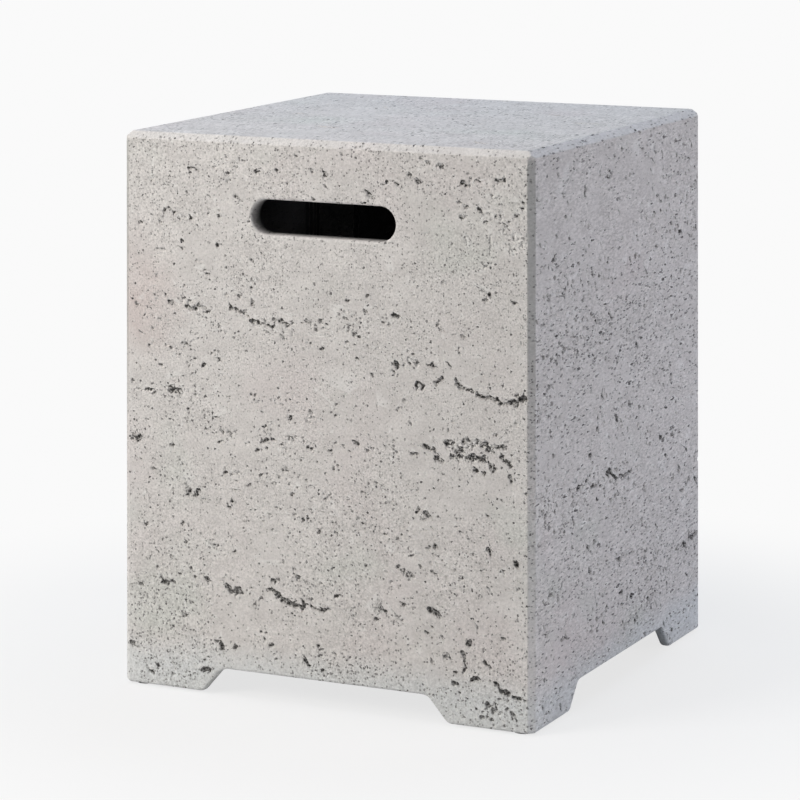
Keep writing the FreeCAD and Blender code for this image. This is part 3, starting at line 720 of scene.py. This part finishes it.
# flat stuff needs few triangles, so the mesh is thinned for good, and the large triangles lead the
# shading at the corners that they share with small ones
shell.modifiers.new("thin", "DECIMATE").ratio = TRIANGLES_KEPT / len(triangles)
bpy.context.view_layer.update()
evaluated = shell.evaluated_get(bpy.context.evaluated_depsgraph_get())
thinned = bpy.data.meshes.new_from_object(evaluated)
shell.modifiers.clear()
shell.data = thinned
thinned.shade_smooth()
thinned.set_sharp_from_angle(angle=np.radians(30))
shell.modifiers.new("weigh", "WEIGHTED_NORMAL").keep_sharp = True
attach(shell, "root")
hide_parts("cover_shell")


def feed(tree, node, feeds):
    """Set a node's sockets to values, or link other nodes' results to them."""
    for socket, value in dict(feeds).items():
        if isinstance(value, bpy.types.NodeSocket):
            tree.links.new(value, node.inputs[socket])
        else:
            node.inputs[socket].default_value = value


def add(tree, kind, feeds=(), **settings):
    """Put a node in a tree, set its properties and feed it."""
    node = tree.nodes.new("ShaderNode" + kind)
    for name, value in settings.items():
        setattr(node, name, value)
    feed(tree, node, feeds)
    return node


def maths(tree, operation, *values):
    """One step of arithmetic on numbers or on other nodes' results."""
    return add(tree, "Math", enumerate(values), operation=operation).outputs[0]


def ease(tree, value, low, high, to=(0, 1)):
    """An S-curve that runs from the first of two values to the second as the input goes from low
    to high."""
    feeds = {"Value": value, "From Min": low, "From Max": high, "To Min": to[0], "To Max": to[1]}
    return add(tree, "MapRange", feeds, interpolation_type="SMOOTHSTEP").outputs[0]


def times(tree, first, second):
    """The product of two numbers or of other nodes' results."""
    return maths(tree, "MULTIPLY", first, second)


def most(tree, first, *others):
    """The greatest of some numbers or of other nodes' results."""
    for other in others:
        first = maths(tree, "MAXIMUM", first, other)
    return first


def tint(tree, share, first, second):
    """Blend two colours by a share from 0 to 1."""
    return add(tree, "Mix", {0: share, 6: first, 7: second}, data_type="RGBA").outputs[2]


def cloud(tree, vector, scale, detail=2.0, stretch=None):
    """Soft noise from 0 to 1. A stretch of its coordinates draws it out along an axis."""
    if stretch:
        vector = add(tree, "Mapping", {"Vector": vector, "Scale": stretch}).outputs[0]
    feeds = {"Vector": vector, "Scale": scale, "Detail": detail, "Roughness": 0.6}
    return add(tree, "TexNoise", feeds).outputs[0]


# pores: balls of air set in the stuff, one to a cell, cut open by the surface. Their outlines are
# shaken by noise, and only a share of the cells has one. The rim is a light ring round a hole,
# partly rubbed edge and partly painted glint.
PORES = bpy.data.node_groups.new("pores", "ShaderNodeTree")
for in_out, kind, names in (
    ("INPUT", "Vector", ("Vector",)),
    ("INPUT", "Float", ("Cells per metre", "Widest radius", "Share with a pore", "Raggedness")),
    ("OUTPUT", "Float", ("Hole", "Rim")),
):
    for name in names:
        PORES.interface.new_socket(name, in_out=in_out, socket_type="NodeSocket" + kind)
given = PORES.nodes.new("NodeGroupInput").outputs
place, scale = given["Vector"], given["Cells per metre"]
finer = times(PORES, scale, 2.6)
shaken = add(PORES, "TexNoise", {"Vector": place, "Scale": finer, "Detail": 2.0}).outputs["Color"]
shift = add(PORES, "VectorMath", {0: shaken, 1: (0.5, 0.5, 0.5)}, operation="SUBTRACT").outputs[0]
amount = maths(PORES, "DIVIDE", given["Raggedness"], scale)
shift = add(PORES, "VectorMath", {0: shift, "Scale": amount}, operation="SCALE").outputs[0]
moved = add(PORES, "VectorMath", {0: place, 1: shift}).outputs[0]
cell = add(PORES, "TexVoronoi", {"Vector": moved, "Scale": scale})
chance = add(PORES, "SeparateColor", {0: cell.outputs["Color"]}).outputs
open_cell = maths(PORES, "LESS_THAN", chance[0], given["Share with a pore"])
wide = maths(PORES, "MULTIPLY_ADD", chance[1], 0.7, 0.3)
wide = times(PORES, times(PORES, wide, given["Widest radius"]), open_cell)
within = maths(PORES, "SUBTRACT", wide, cell.outputs["Distance"])
strength = maths(PORES, "MULTIPLY_ADD", chance[2], 0.6, 0.4)
hole = times(PORES, ease(PORES, within, -0.04, 0.06), strength)
rim = maths(PORES, "SUBTRACT", ease(PORES, within, -0.16, -0.06), ease(PORES, within, -0.04, 0.04))
rim = times(PORES, times(PORES, rim, strength), open_cell)
feed(PORES, PORES.nodes.new("NodeGroupOutput"), {"Hole": hole, "Rim": rim})

stone = bpy.data.materials.new("travertine_concrete")
stone.use_nodes = True
tree = stone.node_tree
place = add(tree, "TexCoord").outputs["Object"]
# the stuff is drawn out along Y, the way that the mould's stone was bedded
bedded = add(tree, "Mapping", {"Vector": place, "Scale": (1, 0.32, 1)}).outputs[0]
carved_by = add(tree, "Attribute", attribute_name="carved").outputs["Fac"]
inside_shading = add(tree, "Attribute", attribute_name="inside_shade").outputs["Fac"]
# wear with painted highlight and shade
rubbed = add(tree, "Attribute", attribute_name="wear_and_shading").outputs["Fac"]

# how open the stuff is: it lies in level beds and in patches
beds = ease(tree, cloud(tree, place, 9, 3.0, (1, 1, 4.5)), 0.38, 0.66)
patches = ease(tree, cloud(tree, place, 16, 3.0), 0.3, 0.62)
open_stuff = times(tree, patches, maths(tree, "MULTIPLY_ADD", beds, 0.8, 0.2))
# the right wall is the most open one, above all low down
across, _, level = add(tree, "SeparateXYZ", {0: place}).outputs
on_right = ease(tree, across, 0.17, 0.2)
low_right = times(tree, on_right, ease(tree, level, 0.08, 0.45, (0.8, 0.42)))
open_stuff = most(tree, open_stuff, low_right)

# coarse, middling and fine pores: cells per metre, widest radius, raggedness, and the share of
# cells with a pore: how much open stuff adds, and how much there is in close stuff
PORE_SIZES = ((120, 0.2, 0.8, 0.5, 0), (250, 0.3, 0.8, 0.6, 0.12), (430, 0.42, 0.7, 0.5, 0.25))
coarse, middling, fine = (
    add(tree, "Group", {
        "Vector": bedded, "Cells per metre": cells, "Widest radius": widest, "Raggedness": ragged,
        "Share with a pore": maths(tree, "MULTIPLY_ADD", open_stuff, more, least),
    }, node_tree=PORES).outputs
    for cells, widest, ragged, more, least in PORE_SIZES
)
pricks = times(tree, fine["Hole"], 0.75)
holes = most(tree, coarse["Hole"], middling["Hole"], pricks)
# the rims are light rings round the pores: rubbed edges and painted glints
prick_rims = times(tree, fine["Rim"], 0.5)
rims = most(tree, coarse["Rim"], middling["Rim"], prick_rims)

# painted shade in the carved voids: their outlines, broken up finer than the mesh can be
fray = cloud(tree, bedded, 430, 3.0)
frayed = maths(tree, "MULTIPLY_ADD", fray, 2.6, maths(tree, "SUBTRACT", carved_by, 1.3))
void = times(tree, ease(tree, frayed, 0.3, 1.6), ease(tree, carved_by, 0.12, 0.5))
# the lit stuff inside them shows as flecks without painted shade, least near the feet and on the
# right wall
right_shut = ease(tree, across, 0.17, 0.2, (0, 0.8))
shut = most(tree, ease(tree, level, 0.08, 0.16, (0.6, 0.12)), right_shut)
flecks = ease(tree, cloud(tree, bedded, 480, 2.0), 0.44, 0.58, (1.0, shut))
void = times(tree, void, flecks)
# painted glints: the stuff in and round a void is lightened where its painted shade is left out
lip = ease(tree, carved_by, 0.1, 0.35)

# colour: warm grey with faint clouds of lighter, pinkish and greenish stuff, and painted shade in
# the voids and pores
GREY, LIGHT_GREY = (0.597, 0.57, 0.553, 1), (0.693, 0.665, 0.645, 1)
PINKISH, GREENISH = (0.64, 0.585, 0.575, 1), (0.58, 0.595, 0.555, 1)
PINK_STAIN, COOL_FOOT_BAND = (0.6, 0.52, 0.5, 1), (0.66, 0.677, 0.68, 1)
# light for wear and painted highlight, and painted shade for the upper corner bevels
RUBBED_AND_LIT, BEVEL_SHADE = (0.86, 0.85, 0.83, 1), (0.36, 0.365, 0.35, 1)
PORE_SHADE, VOID_SHADE = (0.06, 0.056, 0.055, 1), (0.045, 0.042, 0.04, 1)
SHADED_INSIDE = (0.05, 0.05, 0.052, 1)
STAIN_PLACE = (-0.205, -0.2, 0.355)

blotch = cloud(tree, place, 34, 5.0, (1, 1, 1.7))
grit = cloud(tree, bedded, 560, 2.0)
colour = tint(tree, ease(tree, blotch, 0.25, 0.75), GREY, LIGHT_GREY)
pink = ease(tree, cloud(tree, place, 7, 2.0), 0.5, 0.75, (0, 0.6))
colour = tint(tree, pink, colour, PINKISH)
green = ease(tree, cloud(tree, place, 8.3, 2.0, (1, 1, 1.4)), 0.55, 0.78, (0, 0.6))
colour = tint(tree, green, colour, GREENISH)
# a pinkish stain on the front's left edge, and a lighter, cool band along the foot of the walls
away = add(tree, "VectorMath", {0: place, 1: STAIN_PLACE}, operation="DISTANCE").outputs[1]
away = maths(tree, "MULTIPLY_ADD", cloud(tree, place, 30, 2.0), 0.04, away)
colour = tint(tree, ease(tree, away, 0.03, 0.1, (0.8, 0)), colour, PINK_STAIN)
drift = maths(tree, "MULTIPLY_ADD", cloud(tree, place, 22, 2.0), 0.03, level)
colour = tint(tree, ease(tree, drift, 0.035, 0.075, (0.85, 0)), colour, COOL_FOOT_BAND)
# grit: dark and light grains, which differ most where the stuff is open
dark, bright = ease(tree, patches, 0, 1, (0.9, 0.79)), ease(tree, patches, 0, 1, (1.08, 1.17))
contrast = maths(tree, "SUBTRACT", bright, dark)
grain = maths(tree, "MULTIPLY_ADD", ease(tree, grit, 0.28, 0.72), contrast, dark)
# painted shade: the right side of the casting is a shade darker, as the key lamp's falloff makes it
grain = times(tree, grain, ease(tree, across, -0.12, 0.18, (1.01, 0.958)))
colour = add(tree, "VectorMath", {0: colour, "Scale": grain}, operation="SCALE").outputs[0]
# rubbed edges, rims and void lips are light, partly from wear and partly painted highlight, and a
# corner bevel whose value is below zero gets painted shade
lights = ((rims, 0.65), (lip, 0.4), (rubbed, 0.3))
lights = [times(tree, mask, strength) for mask, strength in lights]
colour = tint(tree, most(tree, *lights), colour, RUBBED_AND_LIT)
bevel_shade = most(tree, times(tree, rubbed, -0.57), 0.0)
colour = tint(tree, bevel_shade, colour, BEVEL_SHADE)
# painted shade in the pores, which are bumps only and cast no shadow
colour = tint(tree, times(tree, holes, 0.93), colour, PORE_SHADE)
# painted shade in the voids, deeper than the lamps give the carved hollows
colour = tint(tree, times(tree, void, 0.95), colour, VOID_SHADE)
# painted shade: the inside and the far end of the bore are near black
colour = tint(tree, inside_shading, colour, SHADED_INSIDE)

# fine relief: each mask and how far it lifts the face, in mm
lumps = cloud(tree, place, 150, 3.0)
height = 0.0
for mask, lift in ((holes, -1.2), (grit, 0.2), (void, -0.8), (lumps, 0.5), (blotch, 1.0)):
    height = maths(tree, "MULTIPLY_ADD", mask, lift, height)
bump = add(tree, "Bump", {"Height": height, "Distance": MM, "Strength": 0.9}).outputs[0]
rough_share = ease(tree, blotch, 0.2, 0.8, (0.8, 0.95))
feeds = {"Base Color": colour, "Roughness": rough_share, "Normal": bump, "Specular IOR Level": 0.25}
feed(tree, tree.nodes["Principled BSDF"], feeds)
shell.data.materials.clear()
shell.data.materials.append(stone)

# Foot pads. Four stick-on discs of black rubber, moulded with a bevelled rim and a shallow dish in
# the underside, pressed into the round seats under the feet.
PAD_PLACE = 189 * MM
BLACK, WORN_BLACK = (0.022, 0.022, 0.023, 1), (0.042, 0.041, 0.04, 1)
DUST = (0.21, 0.2, 0.185, 1)

# the outline from the middle of the underside to the middle of the top: radius and height in mm
PAD_OUTLINE = (
    (0, 0.45), (5, 0.45), (5.35, 0.4), (5.75, 0.06), (6.1, 0), (8.9, 0), (9.25, 0.06), (9.85, 0.62),
    (10, 0.95), (10, 1.4), (9.93, 1.5), (10, 1.6), (10, 2.7), (9.9, 2.95), (9.7, 3), (0, 3),
)


def turned(outline, turns, steps):
    """The outline, cut into short steps and swung about Z: the point at angle a is
    (r cos a, r sin a, z). The first and last points lie on the axis."""
    outline = np.array(outline) * MM
    length = np.append(0, np.cumsum(np.hypot(*np.diff(outline, axis=0).T)))
    places = np.unique(np.concatenate((length, np.linspace(0, length[-1], steps))))
    radius = np.interp(places, length, outline[:, 0])[1:-1, None]
    level = np.interp(places, length, outline[:, 1])[1:-1, None]
    angle = np.arange(turns) * 2 * np.pi / turns
    body = np.stack((radius * np.cos(angle), radius * np.sin(angle), level + 0 * angle), -1)
    points = np.concatenate((body.reshape(-1, 3), ((0, 0, outline[0, 1]), (0, 0, outline[-1, 1]))))
    number = np.arange(body.shape[0] * turns).reshape(-1, turns)
    number = np.concatenate((number, number[:, :1]), 1)
    lower, upper = number[:-1], number[1:]
    sides = np.stack((lower[:, :-1], lower[:, 1:], upper[:, 1:], upper[:, :-1]), -1).reshape(-1, 4)
    under, over = fan(len(points) - 2, number[0])[:, (0, 2, 1)], fan(len(points) - 1, number[-1])
    return points, np.concatenate((halves(sides), under, over))


rubber = bpy.data.materials.new("foot_rubber")
rubber.use_nodes = True
tree = rubber.node_tree
place = add(tree, "TexCoord").outputs["Object"]
dust = cloud(tree, place, 160, 4.0)
grain = cloud(tree, place, 2400, 2.0)
colour = tint(tree, ease(tree, grain, 0.3, 0.7), BLACK, WORN_BLACK)
colour = tint(tree, ease(tree, dust, 0.52, 0.8, (0, 0.5)), colour, DUST)
scuff = cloud(tree, place, 500, 3.0)
height = maths(tree, "MULTIPLY_ADD", scuff, 0.6, times(tree, grain, 0.35))
bump = add(tree, "Bump", {"Height": height, "Distance": 0.2 * MM, "Strength": 0.7}).outputs[0]
rough_share = ease(tree, dust, 0.4, 0.75, (0.62, 0.9))
feeds = {"Base Color": colour, "Roughness": rough_share, "Normal": bump}
feed(tree, tree.nodes["Principled BSDF"], feeds)

points, triangles = turned(PAD_OUTLINE, 96, 48)
for end, y in (("front", -PAD_PLACE), ("back", PAD_PLACE)):
    for side, x in (("left", -PAD_PLACE), ("right", PAD_PLACE)):
        name = f"foot_pad_{end}_{side}"
        pad = hang(f"rubber_{name}", mesh_from(f"rubber_{name}", points + (x, y, 0), triangles))
        pad.data.shade_smooth()
        pad.data.set_sharp_from_angle(angle=np.radians(35))
        pad.data.materials.append(rubber)
        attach(pad, "root")
        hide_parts(name)

# the solids that the pieces stand for wear the same two materials
for name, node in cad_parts.items():
    node.data.materials.clear()
    node.data.materials.append(stone if name == "cover_shell" else rubber)

# Floor, light and camera. The picture's ground is plain white, so the floor shows the camera a
# near-white of its own with a faint shadow, and is a plain pale floor to everything else.
FLOOR_HALF = 3.0
PAPER = (0.955, 0.955, 0.955, 1)
FLOOR_GREY = (0.8, 0.8, 0.8, 1)
SKY = (0.88, 0.94, 1, 1)


def in_sight(tree):
    """1 for what the camera sees, in a reflection or through glass too, and 0 for other light."""
    path = add(tree, "LightPath").outputs
    return most(tree, path["Is Camera Ray"], path["Is Glossy Ray"], path["Is Transmission Ray"])


corners = np.array(((-1, -1, 0), (1, -1, 0), (1, 1, 0), (-1, 1, 0))) * FLOOR_HALF
floor = hang("floor", mesh_from("floor", corners, np.array(((0, 1, 2), (0, 2, 3)))))
pale = bpy.data.materials.new("pale_floor")
pale.use_nodes = True
tree = pale.node_tree
bsdf = tree.nodes["Principled BSDF"]
feed(tree, bsdf, {"Base Color": FLOOR_GREY, "Roughness": 0.9})
glow = add(tree, "Emission", {"Color": PAPER}).outputs[0]
place = add(tree, "TexCoord").outputs["Object"]
away = add(tree, "VectorMath", {0: place}, operation="LENGTH").outputs["Value"]
# near the object the camera sees a part of the real floor too, and on it the shadow
glowing = times(tree, in_sight(tree), ease(tree, away, 0.3, 0.7, (0.78, 1.0)))
mix = add(tree, "MixShader", {0: glowing, 1: bsdf.outputs[0], 2: glow}).outputs[0]
feed(tree, tree.nodes["Material Output"], {0: mix})
floor.data.materials.append(pale)

world = bpy.data.worlds.new("studio")
bpy.context.scene.world = world
world.use_nodes = True
tree = world.node_tree
sky = tree.nodes["Background"]
feed(tree, sky, {"Color": SKY, "Strength": 0.12})
white = add(tree, "Background", {"Color": PAPER}).outputs[0]
mix = add(tree, "MixShader", {0: in_sight(tree), 1: sky.outputs[0], 2: white}).outputs[0]
feed(tree, tree.nodes["World Output"], {0: mix})


def bearing(azimuth, rise):
    """The direction to something seen at a bearing from the front and a height, both in degrees."""
    azimuth, rise = np.radians((azimuth, rise))
    return Vector((np.sin(azimuth) * np.cos(rise), -np.cos(azimuth) * np.cos(rise), np.sin(rise)))


MIDDLE = Vector((0, 0, 0.26))


def softbox(name, azimuth, rise, distance, size, power, colour):
    """A square lamp that faces the middle of the object."""
    lamp = bpy.data.objects.new(name, bpy.data.lights.new(name, "AREA"))
    lamp.data.energy = power
    lamp.data.size = size
    lamp.data.color = colour
    way = bearing(azimuth, rise)
    lamp.location = MIDDLE + way * distance
    lamp.rotation_euler = way.to_track_quat("Z", "Y").to_euler()
    bpy.context.scene.collection.objects.link(lamp)


# name, bearing and height in degrees, distance and size in m, power in W, colour
softbox("key", -35, 28, 3.0, 1.4, 53.6, (1, 0.969, 0.906))
softbox("side", 110, 8, 3.0, 1.4, 31, (0.929, 0.915, 1))
softbox("above", -20, 70, 2.2, 1.2, 14.5, (0.992, 0.965, 1))
softbox("sky", 180, 60, 2.2, 1.2, 14.6, (0.505, 0.727, 1))

# the picture's camera: what it looks at, its bearing, height and tilt in degrees, and its distance
TARGET = Vector((-0.02133, 0, 0.244))
BEARING, RISE, TILT = 25.685, 10.795, -0.098
DISTANCE = 3.0976
back = bearing(BEARING, RISE)
camera = bpy.data.objects.new("camera", bpy.data.cameras.new("camera"))
camera.data.lens = 149.07
camera.data.sensor_width = 36
aim, tilt = back.to_track_quat("Z", "Y"), Matrix.Rotation(np.radians(TILT), 4, "Z")
aimed = aim.to_matrix().to_4x4() @ tilt
camera.matrix_world = Matrix.Translation(TARGET + back * DISTANCE) @ aimed
bpy.context.scene.collection.objects.link(camera)
bpy.context.scene.camera = camera
bpy.context.scene.view_settings.view_transform = "Standard"
